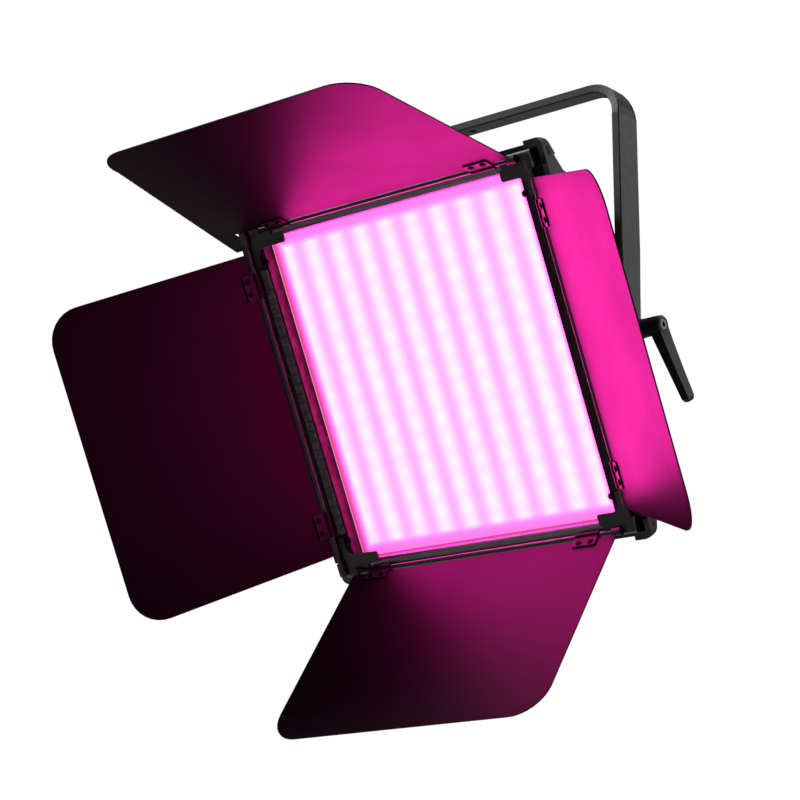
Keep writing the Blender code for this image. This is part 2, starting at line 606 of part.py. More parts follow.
def build_bumper(name, sign_x, sign_z, mats, light):
    """A corner guard: a wrap around the case's corner and a lip over its front rim."""
    in_x = CASE_HALF_X + CLEAR
    in_z = CASE_HALF_Z + CLEAR
    start_x = BUMPER_OUT_X - BUMPER_REACH
    start_z = BUMPER_OUT_Z - BUMPER_REACH
    turn_x = BUMPER_OUT_X - BUMPER_ROUND
    turn_z = BUMPER_OUT_Z - BUMPER_ROUND
    wrap = [(BUMPER_OUT_X, start_z)]
    wrap += arc(turn_x, turn_z, BUMPER_ROUND, 0, 90, 5)
    wrap += [(start_x, BUMPER_OUT_Z), (start_x, in_z)]
    wrap += arc(in_x - CASE_CORNER, in_z - CASE_CORNER, CASE_CORNER, 90, 0, 4)
    wrap += [(in_x, start_z)]
    guard = prism(f"corner_bumper_{name}", mirrored(wrap, sign_x, sign_z), "Y", BUMPER_FRONT,
                  BUMPER_BACK, mats["black_plastic"], light)
    lip_x = CASE_HALF_X - CASE_WALL - CLEAR
    lip_z = CASE_HALF_Z - CASE_WALL - CLEAR
    lip = [(BUMPER_OUT_X - LIP_INSET, start_z)]
    lip += arc(turn_x, turn_z, BUMPER_ROUND - LIP_INSET, 0, 90, 5)
    lip += [(start_x, BUMPER_OUT_Z - LIP_INSET), (start_x, lip_z), (lip_x, lip_z), (lip_x, start_z)]
    join(guard, prism(f"lip_{name}", mirrored(lip, sign_x, sign_z), "Y", BUMPER_FRONT,
                      CASE_FRONT - CLEAR, parent=light))
    slope = (WAIST[1] - SHOULDER[1]) / (WAIST[0] - SHOULDER[0])
    low = start_z - 0.01
    foot = SHOULDER[0] + (low - SHOULDER[1]) / slope
    behind = [(BUMPER_FRONT + 0.003, BUMPER_OUT_Z + 0.0005), (SHOULDER[0], SHOULDER[1] + SLOPE_GAP),
              (foot, low), (REACH, low), (REACH, REACH)]
    cut(guard, prism(f"slope_{name}", mirrored(behind, 1, sign_z), "X", -REACH, REACH, parent=light))


def bracket_outline(tab_start):
    """Door-bracket plate in the top right corner, as (x, z): legs, tab and a concave edge."""
    points = [(LEG_END[0], PLATE_IN_Z), (LEG_END[0], PLATE_OUT[1]),
              (PLATE_OUT[0] - PLATE_CHAMFER[0], PLATE_OUT[1]), (PLATE_OUT[0], PLATE_OUT[1] - PLATE_CHAMFER[1]),
              (PLATE_OUT[0], LEG_END[1]), (PLATE_IN_X, LEG_END[1])]
    points += arc(*HOLLOW_CENTRE, HOLLOW_RADIUS, -10, 35, 4)
    points += [(OPEN_HALF_X, TAB_LOW)]
    points += arc(tab_start + TAB_ROUND, TAB_LOW + TAB_ROUND, TAB_ROUND, 270, 180, 3)
    return points + [(tab_start, PLATE_IN_Z)]


def build_bracket(name, sign_x, sign_z, mats, light):
    """A corner piece that holds the ends of two rods in round lugs."""
    front = ROD_Y + ROD_RADIUS + CLEAR
    back = BEZEL_FRONT - CLEAR
    outline = mirrored(bracket_outline(TAB_START[sign_x]), sign_x, sign_z)
    plate = prism(f"door_bracket_{name}", outline, "Y", front, back, mats["black_plastic"], light)
    web_back = back - (back - front) / 2
    lugs = (
        ("top", "X", LUG_TOP, (ROD_Y, ROD_Z), ROD_HALF_TOP, sign_x, (1, sign_z)),
        ("side", "Z", LUG_SIDE, (ROD_X, ROD_Y), ROD_HALF_SIDE, sign_z, (sign_x, 1)),
    )
    for part, axis, span, centre, rod_end, sign, mirror in lugs:
        ring = mirrored(circle(*centre, LUG_RADIUS, 20), *mirror)
        low, high = sorted(sign * end for end in span)
        join(plate, prism(f"lug_{part}_{name}", ring, axis, low, high, parent=light))
        if axis == "X":
            web = box_outline(ROD_Y, web_back, ROD_Z + WEB[0], ROD_Z + WEB[1])
        else:
            web = box_outline(ROD_X + WEB[0], ROD_X + WEB[1], ROD_Y, web_back)
        join(plate, prism(f"web_{part}_{name}", mirrored(web, *mirror), axis, low + WEB_INSET,
                          high - WEB_INSET, parent=light))
        bore = mirrored(circle(*centre, ROD_RADIUS + CLEAR, 20), *mirror)
        ends = sorted((0.0, sign * (rod_end + CLEAR)))
        cut(plate, prism(f"bore_{part}_{name}", bore, axis, *ends, parent=light))


def leaf_outline(flare):
    """Leaf outline as (u, v); with a flare, the -u side is wider and has an ear at its root."""
    outline = [(LEAF_HALF, LEAF_ROOT)]
    outline += arc(LEAF_HALF - LEAF_CORNER, LEAF_LENGTH - LEAF_CORNER, LEAF_CORNER, 0, 90, 8)
    outline += arc(LEAF_CORNER - LEAF_HALF, LEAF_LENGTH - LEAF_CORNER, LEAF_CORNER, 90, 180, 8)
    if not flare:
        return outline + [(-LEAF_HALF, LEAF_ROOT)]
    near = -LEAF_HALF - EAR_NEAR
    step = -LEAF_HALF - EAR_STEP
    outline += [(-LEAF_HALF - flare, LEAF_ROOT), (-LEAF_HALF - EAR_FAR, -EAR_DEPTH)]
    return outline + [(near, -EAR_DEPTH), (near, -EAR_STEP_DEPTH), (step, -EAR_STEP_DEPTH), (step, LEAF_ROOT)]


def clip_outline():
    """Clip section as (v, w): a tongue on the leaf's beam side and a wrap around the rod."""
    under = LEAF_THICK / 2 + CLEAR
    over = under + CLIP_THICK
    inner = ROD_RADIUS + CLEAR
    outer_start = math.degrees(math.asin(over / CLIP_WRAP))
    inner_start = math.degrees(math.asin(under / inner))
    outline = [(CLIP_REACH, under), (CLIP_REACH, over)]
    outline += arc(0, 0, CLIP_WRAP, outer_start, CLIP_END, 14)
    return outline + arc(0, 0, inner, CLIP_END, inner_start, 14)


def build_leaf(name, quarter, hinge, angle, flare, mats, light):
    """One barn-door leaf with its rod and its two clips.

    The leaf's frame has u along the rod, v out along the leaf and w towards the beam.
    """
    turn = Matrix.Rotation(quarter * math.pi / 2, 4, "Y")
    rod_half = ROD_HALF_TOP if quarter % 2 == 0 else ROD_HALF_SIDE
    rod_frame = empty(f"rod_frame_{name}", light, turn)
    prism(f"door_rod_{name}", circle(ROD_Y, hinge, ROD_RADIUS, 20), "X", -rod_half, rod_half,
          mats["rod_steel"], rod_frame)
    across = Vector((1.0, 0.0, 0.0))
    along = Vector((0.0, -math.cos(angle), math.sin(angle)))
    normal = across.cross(along)
    leaf_axes = Matrix((across, along, normal)).transposed().to_4x4()
    place = Matrix.Translation((0.0, ROD_Y, hinge)) @ leaf_axes
    frame = empty(f"leaf_frame_{name}", light, turn @ place)
    prism(f"leaf_{name}", leaf_outline(flare), "Z", -LEAF_THICK / 2, LEAF_THICK / 2, mats["leaf_paint"], frame)
    for index, centre in enumerate((-CLIP_OFFSET, CLIP_OFFSET), start=1):
        prism(f"leaf_clip_{name}_{index}", clip_outline(), "X", centre - CLIP_HALF, centre + CLIP_HALF,
              mats["zinc_steel"], frame)


# Rear controls
def panel_box(centre, half):
    """A rectangle on the control panel."""
    x, up = centre
    return box_outline(x - half[0], x + half[0], CONTROL_Z + up - half[1], CONTROL_Z + up + half[1])


def raised(profile, top):
    """A turned profile, moved up to stand on the panel's face."""
    return [(top + height, radius) for height, radius in profile]


def build_controls(mats, light):
    face = PANEL_FACE + CLEAR
    top = face + CONTROL_THICK
    outline = shifted(rounded_rectangle(*CONTROL_HALF, 0.004, 3), 0, CONTROL_Z)
    plate = prism("control_plate", outline, "Y", face, top, mats["black_plastic"], light)
    display = shifted(rounded_rectangle(*DISPLAY_HALF, 0.002, 2), DISPLAY_CENTRE[0], CONTROL_Z + DISPLAY_CENTRE[1])
    prism("display_window", display, "Y", top + CLEAR, top + CLEAR + DISPLAY_THICK, mats["window"], light)
    for index, x in enumerate(BUTTON_X, start=1):
        centre = (x, CONTROL_Z + BUTTON_UP)
        cut(plate, prism(f"button_hole_{index}", circle(*centre, BUTTON_HOLE, 20), "Y", 0, REACH, parent=light))
        turned(f"push_button_{index}", raised(BUTTON_PROFILE, top), "Y", centre, mats["knob_rubber"], light, 20)
    for name, x in KNOBS:
        turned(name, raised(KNOB_PROFILE, top), "Y", (x, CONTROL_Z + KNOB_UP), mats["knob_rubber"], light, 32)
    cut(plate, prism("switch_window", panel_box((SWITCH_X, 0.0), SWITCH_HALF), "Y", 0, REACH, parent=light))
    rocker = shifted(ROCKER, top, CONTROL_Z)
    prism("power_rocker", rocker, "X", SWITCH_X - ROCKER_HALF_X, SWITCH_X + ROCKER_HALF_X,
          mats["black_plastic"], light, 0)
    build_sockets(top, mats, light)


def build_sockets(top, mats, light):
    """The round power inlet with its pin, and the data port."""
    centre = (INLET_CENTRE[0], CONTROL_Z + INLET_CENTRE[1])
    inlet = turned("power_inlet", raised(INLET_PROFILE, top), "Y", centre, mats["black_plastic"], light, 28)
    well = prism("inlet_well", circle(*centre, INLET_WELL[0], 20), "Y", top + INLET_WELL[1], REACH, parent=light)
    cut(well, prism("inlet_pin", circle(*centre, INLET_PIN[0], 12), "Y", 0, top + INLET_PIN[1], parent=light))
    cut(inlet, well)
    low, high = PORT_HEIGHTS
    port = prism("data_port", panel_box(PORT_CENTRE, PORT_HALF), "Y", top + low, top + high,
                 mats["zinc_steel"], light, 0)
    inside = [half - PORT_WALL for half in PORT_HALF]
    cut(port, prism("port_well", panel_box(PORT_CENTRE, inside), "Y", top + PORT_FLOOR, REACH, parent=light))


def clear_scene():
    for old in list(bpy.data.objects):
        bpy.data.objects.remove(old, do_unlink=True)


def build():
    clear_scene()
    mats = build_materials()
    tilt = Matrix.Translation((0.0, 0.0, -YOKE_DROP)) @ Matrix.Rotation(HEAD_TILT, 4, "X")
    head = empty("head_frame", None, tilt)
    light = empty("light_frame", head, Matrix.Translation((0.0, 0.0, LIGHT_UP)))
    build_yoke(mats)
    build_pivots(mats, head)
    build_clamp(mats)
    build_case(mats, light, head)
    build_bezel(mats, light)
    build_light_engine(mats, light)
    for name, sign_x, sign_z in CORNERS:
        build_bumper(name, sign_x, sign_z, mats, light)
        build_bracket(name, sign_x, sign_z, mats, light)
    for leaf in LEAVES:
        build_leaf(*leaf, mats, light)
    build_controls(mats, light)


build()
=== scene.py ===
"""Looks of the LED panel light: materials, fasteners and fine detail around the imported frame."""
import json
import math

import bmesh
import bpy
import numpy as np
from mathutils import Matrix, Vector


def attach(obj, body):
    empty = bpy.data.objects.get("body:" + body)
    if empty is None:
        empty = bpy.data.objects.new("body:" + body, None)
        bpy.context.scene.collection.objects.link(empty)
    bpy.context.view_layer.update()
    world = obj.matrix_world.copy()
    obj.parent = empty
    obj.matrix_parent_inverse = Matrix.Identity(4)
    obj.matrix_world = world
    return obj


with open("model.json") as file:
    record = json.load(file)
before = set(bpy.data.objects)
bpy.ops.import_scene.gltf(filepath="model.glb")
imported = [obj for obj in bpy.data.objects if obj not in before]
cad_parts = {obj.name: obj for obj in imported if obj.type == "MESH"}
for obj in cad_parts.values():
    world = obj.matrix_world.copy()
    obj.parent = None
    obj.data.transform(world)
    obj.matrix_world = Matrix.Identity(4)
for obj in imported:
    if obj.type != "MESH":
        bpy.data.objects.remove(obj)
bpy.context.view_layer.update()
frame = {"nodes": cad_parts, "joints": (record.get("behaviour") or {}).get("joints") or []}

nodes = frame["nodes"]
joints = {joint["name"]: joint for joint in frame["joints"]}

# Camera, in metres, degrees and lens millimetres, about the lit face's centre
CAMERA_OFFSET = Vector((1.1958, -1.5483, -0.5559))
CAMERA_AZIMUTH = 38.71
CAMERA_ELEVATION = 15.18
CAMERA_LENS = 107.7
CAMERA_SENSOR = 36.0
CAMERA_CLIP = (0.05, 60.0)

# Stage: floor, world and lamps
FLOOR_DROP = 1.30                  # floor below the yoke's stand face
FLOOR_HALF = 25.0
FLOOR_GREYS = ((0.80, 0.80, 0.80), (0.84, 0.84, 0.84))
WORLD_LIGHT = 0.05                 # the world's strength as a light
WORLD_BACKDROP = 1.0               # and as the camera sees it
SUN_ENERGY = 0.6
SUN_ANGLE = 30.0
LAMPS = (                          # name, place, target, size and power
    ("key", (2.6, 2.2, 0.9), (0, 0, -0.2), 2.0, 19),
    ("fill", (-2.0, -2.6, 0.7), (0, 0, -0.2), 1.6, 9),
    ("top", (0.6, 1.2, 2.2), (0, 0, -0.1), 1.4, 8),
    ("rail", (-2.2, -1.6, 2.3), (0, 0, -0.3), 1.0, 34),
)

SIDES = ("top", "right", "bottom", "left")
CORNERS = tuple((f"{row}_{side}", x, z) for row, z in (("top", 1), ("bottom", -1))
                for side, x in (("left", -1), ("right", 1)))

# Colour and roughness of each paint, plastic and metal
FINISHES = {
    "yoke_paint": ((0.045, 0.045, 0.042), 0.40),
    "case_paint": ((0.016, 0.016, 0.017), 0.46),
    "bezel_side_paint": ((0.013, 0.009, 0.009), 0.50),
    "rib_paint": ((0.055, 0.052, 0.054), 0.48),
    "black_plastic": ((0.014, 0.014, 0.015), 0.46),
    "bracket_plastic": ((0.006, 0.005, 0.006), 0.44),
    "slot_rim": ((0.030, 0.030, 0.030), 0.42),
    "knob_rubber": ((0.022, 0.022, 0.022), 0.68),
    "grip_rubber": ((0.020, 0.020, 0.020), 0.66),
    "black_zinc": ((0.12, 0.12, 0.125), 0.30),
    "bezel_across": ((0.11, 0.11, 0.113), 0.32),
    "rod_steel": ((0.035, 0.035, 0.037), 0.30),
    "rod_steel_up": ((0.035, 0.035, 0.037), 0.30),
    "screw_steel": ((0.05, 0.05, 0.053), 0.36),
    "tray_white": ((0.8, 0.8, 0.8), 0.5),
    "solder_mask": ((0.02, 0.09, 0.04), 0.4),
    "raw_aluminium": ((0.7, 0.7, 0.72), 0.4),
    "nylon": ((0.03, 0.03, 0.03), 0.55),
    "window": ((0.012, 0.012, 0.016), 0.08),
    # painted shade: the near-black colour of the plates that stand in for the slot hollows in the
    # corner guards
    "slot_painted_shade": ((0.002, 0.002, 0.002), 0.6),
}
POWDER_GRAIN = 2600.0              # texture scales, per metre
PLASTIC_GRAIN = 1500.0
RUBBER_GRAIN = 2200.0
DRAW_LINES = 1400.0
PLAIN_GRAIN = 900.0
STEEL_GRAIN = 1600.0
LEAF_PEEL = 2300.0
BEZEL_SIDE_GLOSS = 0.08
CLIP_BLACKS = ((0.0007, 0.0006, 0.0007), (0.0014, 0.0012, 0.0014))
CLIP_EDGE = (0.008, 0.008, 0.0085)
CLIP_GLOSS = 0.035

# Leaf paint: the inside's darkness and gloss, set leaf by leaf as painted light and shade, the
# painted pink tint of its reflections, and the outside
LEAF_PAINTED_SHADING = {"top": (0.0013, 0.042), "right": (0.0011, 0.025),
              "bottom": (0.0016, 0.046), "left": (0.0027, 0.043)}
# a painted pink tint on the reflections of the leaves' insides
LEAF_PAINTED_REFLECTION_TINT = (1.0, 0.35, 0.85)
LEAF_OUTSIDE = ((0.016, 0.016, 0.0165), (0.026, 0.026, 0.027))

# Lit sheet: its emission colours, and the distances in from the opening where they change
LED_COLUMNS = 10
LED_ROWS = 15
LED_ROW_LOW = 0.80                 # brightness between two rows
PANEL_GLOW = 26.0                  # far above white, so that the sheet lights the leaves
EDGE_DARK = 0.0015                 # the sheet goes dark this far outside the opening
EDGE_RAMP = (0.0, 0.0095)          # deep pink to pale pink, at the sides
EDGE_GLOW = (0.0050, 0.0135)       # pale pink to full light
EDGE_RIM = 0.0009                  # a thin pale line along the sides
GLOW_RIM = (0.04, 0.014, 0.030)
GLOW_EDGE = (0.024, 0.0006, 0.0075)
GLOW_BORDER = (0.06, 0.0070, 0.030)
GLOW_BETWEEN = (1.0, 0.0155, 0.40)
GLOW_STRIPE = (1.0, 0.034, 0.40)
SHEET_COLOUR = (0.30, 0.26, 0.29)

# Screws: a pair of lengths is a head's radius and height, and the profile has shares of them
PAN_PROFILE = ((1.0, 0.0), (1.0, 0.35), (0.93, 0.7), (0.72, 0.95), (0.6, 1.0))
SCREW_SIDES = 24
SOCKET_CORNERS = 6
SOCKET_SHARES = (0.42, 0.7)        # socket radius and depth, as shares of the head
CLIP_SCREW = (0.0026, 0.0013)
CLIP_SCREW_SPACING = 0.0115
CLIP_SCREW_OUT = 0.66              # share of the clip's reach where its screws sit
CLIP_PLATE_FROM = 0.8              # the clip is flat beyond this share of its reach
RAIL_SCREW = (0.0030, 0.0016)
RAIL_SCREW_IN = 0.0008             # from the rail's inner edge to the screw's axis
RAIL_SCREW_UP = 0.128              # above and below the light's centre
REAR_SCREWS = (                    # node, head radius, inset and columns
    ("back_cover", 0.0030, 0.0125, 3),
    ("control_plate", 0.0019, 0.0045, 2),
)
REAR_SCREW_RISE = 0.5              # head height, as a share of its radius

# Pads on the left rail
RIB_COUNT = 28
RIB_PITCH = 0.0087
RIB_HALF = (0.0042, 0.0041)        # half width and half height of a pad
RIB_IN = 0.0062                    # from the rail's inner edge to the pads' centres
RIB_HEIGHT = 0.0006

# Slots in the corner guards: a raised rim around a near-black plate, which is painted shade for the
# slot's hollow
SLOT_DEPTH = -0.0010               # slot centre back from the diffuser's face, so just in front of it
SLOT_DOWN = 0.0125                 # slot centre below the guard's outer edge
SLOT_HALF = 0.0036
SLOT_ROUND = 0.0014
SLOT_RIM = 0.0008                  # width of the raised rim
SLOT_RIM_HEIGHT = 0.0004
SLOT_SHADE_PLATE_HEIGHT = 0.0005
SLOT_SOFT = (0.0002, 0.0001)       # in and up at the softened top edge
ROUND_END_STEPS = 8

# Ribs round the knobs
KNOB_RIBS = 36
KNOB_RIB_STATIONS = ((0.20, 0.0089), (0.90, 0.0082))   # share of the knob's height, and radius
KNOB_RIB_HALF = 0.0003
KNOB_RIB_ROOT = 0.0008             # from the rib's crest in to its foot
KNOB_RIB_CREST = 0.5               # crest width, as a share of the foot's

# Bevels on the frame's pieces, and the angle that counts as an edge
SHARP_ANGLE = 35.0
EDGE_WIDTHS = {"yoke_bracket": 0.0006, "housing_shell": 0.0008, "back_cover": 0.0010,
               "lever_handle": 0.0007, "control_plate": 0.0004, "power_rocker": 0.0004,
               "data_port": 0.0003, "display_window": 0.0003}
EDGE_FAMILIES = {"corner_bumper": 0.0007, "door_bracket": 0.0003, "leaf_clip": 0.0002}
LEAF_EDGE = 0.0003


# ---------------------------------------------------------------- places taken from the frame
def head_axes():
    """The head's right, back and up directions at rest, from the encoder's axis."""
    back = Vector(joints["brightness_turn"]["axis"]).normalized()
    right = Vector((1.0, 0.0, 0.0))
    return right, back, right.cross(back)


def axes_matrix(origin, right, back, up):
    turn = Matrix((right, back, up)).transposed().to_4x4()
    return Matrix.Translation(origin) @ turn


def node_points(name):
    return [vertex.co for vertex in nodes[name].data.vertices]


def box_in(place, name):
    """A node's lowest and highest corner in the axes of a placing matrix."""
    back = place.inverted()
    points = np.array([back @ point for point in node_points(name)])
    return Vector(points.min(axis=0)), Vector(points.max(axis=0))


def light_place():
    """Origin at the diffuser's front centre; x right, y back, z up along the head."""
    axes = axes_matrix(Vector((0, 0, 0)), *head_axes())
    low, high = box_in(axes, "diffuser")
    centre = Vector(((low.x + high.x) / 2, low.y, (low.z + high.z) / 2))
    return Matrix.Translation(axes @ centre) @ axes


def leaf_outward(side):
    """The rest direction square to a leaf and away from the beam, fitted to its flat."""
    points = np.array(node_points(f"leaf_{side}"))
    centre = points.mean(axis=0)
    normal = Vector(np.linalg.svd(points - centre, full_matrices=False)[2][2])
    beam = LIGHT @ Vector((0.0, centre_depth(centre), 0.0))
    return normal if normal.dot(Vector(centre) - beam) > 0 else -normal


def centre_depth(point):
    return (LIGHT.inverted() @ Vector(point)).y


LIGHT = light_place()


# ---------------------------------------------------------------- node helpers
class Shader:
    """A small helper that adds and links shader nodes in a new material."""

    def __init__(self, name):
        self.material = bpy.data.materials.new(name)
        self.material.use_nodes = True
        self.tree = self.material.node_tree
        self.surface = self.tree.nodes["Principled BSDF"]

    def add(self, kind, **settings):
        node = self.tree.nodes.new("ShaderNode" + kind)
        for key, value in settings.items():
            setattr(node, key, value)
        return node

    def link(self, source, target):
        self.tree.links.new(source, target)

    def set(self, **values):
        for key, value in values.items():
            socket = self.surface.inputs[key.replace("_", " ")]
            if hasattr(value, "is_output"):
                self.link(value, socket)
            elif isinstance(value, tuple):
                socket.default_value = (*value, 1.0)
            else:
                socket.default_value = value

    def coordinates(self, place=None, scale=(1.0, 1.0, 1.0)):
        """Object coordinates, in the axes of a placing matrix if one is given."""
        source = self.add("TexCoord").outputs["Object"]
        if place is not None:
            mapping = self.add("Mapping", vector_type="TEXTURE")
            mapping.inputs["Location"].default_value = place.translation
            mapping.inputs["Rotation"].default_value = place.to_euler()
            self.link(source, mapping.inputs["Vector"])
            source = mapping.outputs["Vector"]
        if scale != (1.0, 1.0, 1.0):
            stretch = self.add("Mapping")
            stretch.inputs["Scale"].default_value = scale
            self.link(source, stretch.inputs["Vector"])
            source = stretch.outputs["Vector"]
        return source

    def noise(self, vector, scale, detail=3.0, roughness=0.5):
        node = self.add("TexNoise")
        node.inputs["Scale"].default_value = scale
        node.inputs["Detail"].default_value = detail
        node.inputs["Roughness"].default_value = roughness
        self.link(vector, node.inputs["Vector"])
        return node.outputs["Fac"]

    def spread(self, value, low, high, to_low, to_high, smooth=False):
        node = self.add("MapRange", interpolation_type="SMOOTHSTEP" if smooth else "LINEAR")
        settings = (("From Min", low), ("From Max", high), ("To Min", to_low), ("To Max", to_high))
        for key, number in settings:
            node.inputs[key].default_value = number
        self.link(value, node.inputs["Value"])
        return node.outputs["Result"]

    def maths(self, operation, first, second=None):
        node = self.add("Math", operation=operation)
        for socket, value in zip(node.inputs, (first, second)):
            if value is None:
                continue
            if hasattr(value, "is_output"):
                self.link(value, socket)
            else:
                socket.default_value = value
        return node.outputs["Value"]

    def blend(self, factor, first, second):
        node = self.add("Mix", data_type="RGBA")
        sockets = (node.inputs["Factor"], node.inputs[6], node.inputs[7])
        for socket, value in zip(sockets, (factor, first, second)):
            if hasattr(value, "is_output"):
                self.link(value, socket)
            elif isinstance(value, tuple):
                socket.default_value = (*value, 1.0)
            else:
                socket.default_value = value
        return node.outputs[2]

    def wave(self, value, pitch, phase, low):
        """A cosine along one coordinate, from low to 1."""
        angle = self.maths("ADD", self.maths("MULTIPLY", value, 2 * math.pi / pitch), phase)
        return self.spread(self.maths("COSINE", angle), -1.0, 1.0, low, 1.0)

    def bump(self, height, distance, strength=1.0):
        node = self.add("Bump")
        node.inputs["Strength"].default_value = strength
        node.inputs["Distance"].default_value = distance
        self.link(height, node.inputs["Height"])
        self.link(node.outputs["Normal"], self.surface.inputs["Normal"])

    def edge_wear(self, low, high):
        """Brighter where the mesh is sharply convex."""
        return self.spread(self.add("NewGeometry").outputs["Pointiness"], low, high, 0.0, 1.0)


# ---------------------------------------------------------------- materials
def scaled(colour, factor):
    return tuple(channel * factor for channel in colour)


def powder_coat(name, gloss=0.5):
    """Fine-textured powder coat with faint handling marks and a lighter rubbed edge."""
    shader = Shader(name)
    colour, roughness = FINISHES[name]
    place = shader.coordinates()
    pebble = shader.noise(place, POWDER_GRAIN, 2.0)
    cloud = shader.noise(place, 5.0, 1.0)
    tone = shader.blend(shader.spread(cloud, 0.3, 0.7, 0.0, 0.6), colour, scaled(colour, 1.25))
    rub = shader.edge_wear(0.53, 0.62)
    patches = shader.spread(shader.noise(place, 140.0), 0.45, 0.6, 0.0, 0.5)
    tone = shader.blend(shader.maths("MULTIPLY", rub, patches), tone, scaled(colour, 3.5))
    sheen = shader.spread(cloud, 0.3, 0.7, roughness - 0.05, roughness + 0.06)
    shader.set(Base_Color=tone, Roughness=sheen, Specular_IOR_Level=gloss)
    shader.bump(pebble, 0.00006, 0.5)
    return shader.material


def moulded_plastic(name, grain=PLASTIC_GRAIN):
    """Spark-textured black plastic with a slight sheen change over the surface."""
    shader = Shader(name)
    colour, roughness = FINISHES[name]
    place = shader.coordinates()
    spark = shader.noise(place, grain, 3.0, 0.6)
    cloud = shader.noise(place, 30.0, 3.0)
    tone = shader.blend(shader.spread(cloud, 0.3, 0.8, 0.0, 0.6), colour, scaled(colour, 1.5))
    sheen = shader.spread(spark, 0.3, 0.7, roughness - 0.06, roughness + 0.08)
    shader.set(Base_Color=tone, Roughness=sheen)
    shader.bump(spark, 0.00008, 0.5)
    return shader.material


def drawn_metal(name, along):
    """Metal with fine draw lines along one axis of the head."""
    shader = Shader(name)
    colour, roughness = FINISHES[name]
    stretch = tuple(0.02 if axis == along else 1.0 for axis in range(3))
    lines = shader.noise(shader.coordinates(LIGHT, stretch), DRAW_LINES, 2.0)
    cloud = shader.noise(shader.coordinates(), 60.0, 3.0)
    tone = shader.blend(shader.spread(lines, 0.35, 0.65, 0.0, 1.0), colour, scaled(colour, 1.35))
    sheen = shader.spread(cloud, 0.3, 0.7, roughness - 0.05, roughness + 0.07)
    shader.set(Base_Color=tone, Metallic=1.0, Roughness=sheen)
    shader.bump(lines, 0.00001, 0.3)
    return shader.material


def black_steel():
    """Blackened spring steel of the clips: dull, with lighter edges."""
    shader = Shader("black_steel")
    place = shader.coordinates()
    cloud = shader.noise(place, 180.0, 4.0, 0.6)
    tone = shader.blend(shader.spread(cloud, 0.35, 0.65, 0.0, 1.0), *CLIP_BLACKS)
    tone = shader.blend(shader.edge_wear(0.54, 0.64), tone, CLIP_EDGE)
    sheen = shader.spread(cloud, 0.3, 0.7, 0.34, 0.44)
    shader.set(Base_Color=tone, Roughness=sheen, Specular_IOR_Level=CLIP_GLOSS)
    shader.bump(shader.noise(place, STEEL_GRAIN, 2.0), 0.00003, 0.4)
    return shader.material


def leaf_paint(side, outward):
    """Rolled sheet: dull black inside, so that it throws little light back, and satin outside; the
    inside's darkness and gloss differ leaf by leaf as painted light and shade, and its reflections
    carry a painted pink tint.
    """
    shader = Shader(f"leaf_{side}_paint")
    # painted light and shade: each leaf gets its own darkness and gloss, so the same paint looks
    # lighter or darker from leaf to leaf
    dark, gloss = LEAF_PAINTED_SHADING[side]
    place = shader.coordinates()
    peel = shader.noise(place, LEAF_PEEL, 2.0)
    cloud = shader.noise(place, 14.0, 5.0, 0.65)
    facing = shader.add("VectorMath", operation="DOT_PRODUCT")
    shader.link(shader.add("TexCoord").outputs["Normal"], facing.inputs[0])
    facing.inputs[1].default_value = outward
    outside = shader.spread(facing.outputs["Value"], -0.2, 0.2, 0.0, 1.0)
    shade = shader.spread(cloud, 0.35, 0.7, 0.0, 0.6)
    dull = shader.blend(shade, (dark, dark * 0.7, dark), (dark * 1.3, dark, dark * 1.3))
    satin = shader.blend(shade, *LEAF_OUTSIDE)
    shader.set(Base_Color=shader.blend(outside, dull, satin))
    shader.set(Roughness=shader.spread(cloud, 0.3, 0.7, 0.41, 0.46), Specular_IOR_Level=gloss)
    # painted reflection: the inside's reflections get a pink tint, the outside's stay white
    shader.set(Specular_Tint=shader.blend(outside, LEAF_PAINTED_REFLECTION_TINT, (1.0, 1.0, 1.0)))
    shader.bump(peel, 0.00004, 0.35)
    return shader.material


def opal_diffuser():
    """Lit opal sheet: glowing columns, soft rows where the LEDs sit, and a dim pink border."""
    shader = Shader("opal_lit")
    half_x = box_in(LIGHT, "bezel_rail_right")[0].x
    half_z = box_in(LIGHT, "bezel_rail_top")[0].z
    split = shader.add("SeparateXYZ")
    shader.link(shader.coordinates(LIGHT), split.inputs["Vector"])
    x, z = split.outputs["X"], split.outputs["Z"]
    column = shader.wave(x, 2 * half_x / LED_COLUMNS, math.pi, 0.0)
    bead = shader.wave(z, 2 * half_z / LED_ROWS, 0.0, LED_ROW_LOW)
    side_x = shader.maths("SUBTRACT", half_x, shader.maths("ABSOLUTE", x))
    side_z = shader.maths("SUBTRACT", half_z, shader.maths("ABSOLUTE", z))
    nearest = shader.maths("MINIMUM", side_x, side_z)
    inside = shader.spread(nearest, *EDGE_GLOW, 0.0, 1.0, True)
    cloud = shader.spread(shader.noise(shader.coordinates(LIGHT), 34.0, 1.0), 0.3, 0.7, 0.86, 1.0)
    lamps = shader.maths("MULTIPLY", column, bead)
    core = shader.maths("MULTIPLY", lamps, shader.maths("MULTIPLY", inside, cloud))
    body = shader.blend(core, GLOW_BETWEEN, GLOW_STRIPE)
    border = shader.blend(shader.spread(side_x, *EDGE_RAMP, 0.0, 1.0, True), GLOW_EDGE, GLOW_BORDER)
    tone = shader.blend(inside, border, body)
    rim = shader.spread(side_x, 0.0, EDGE_RIM, 1.0, 0.0)
    tone = shader.blend(rim, tone, GLOW_RIM)
    lit = shader.spread(nearest, -EDGE_DARK, 0.0, 0.0, 1.0)
    tone = shader.blend(lit, (0.0, 0.0, 0.0), tone)
    shader.set(Base_Color=SHEET_COLOUR, Roughness=0.5, Emission_Color=tone)
    shader.set(Emission_Strength=PANEL_GLOW)
    return shader.material


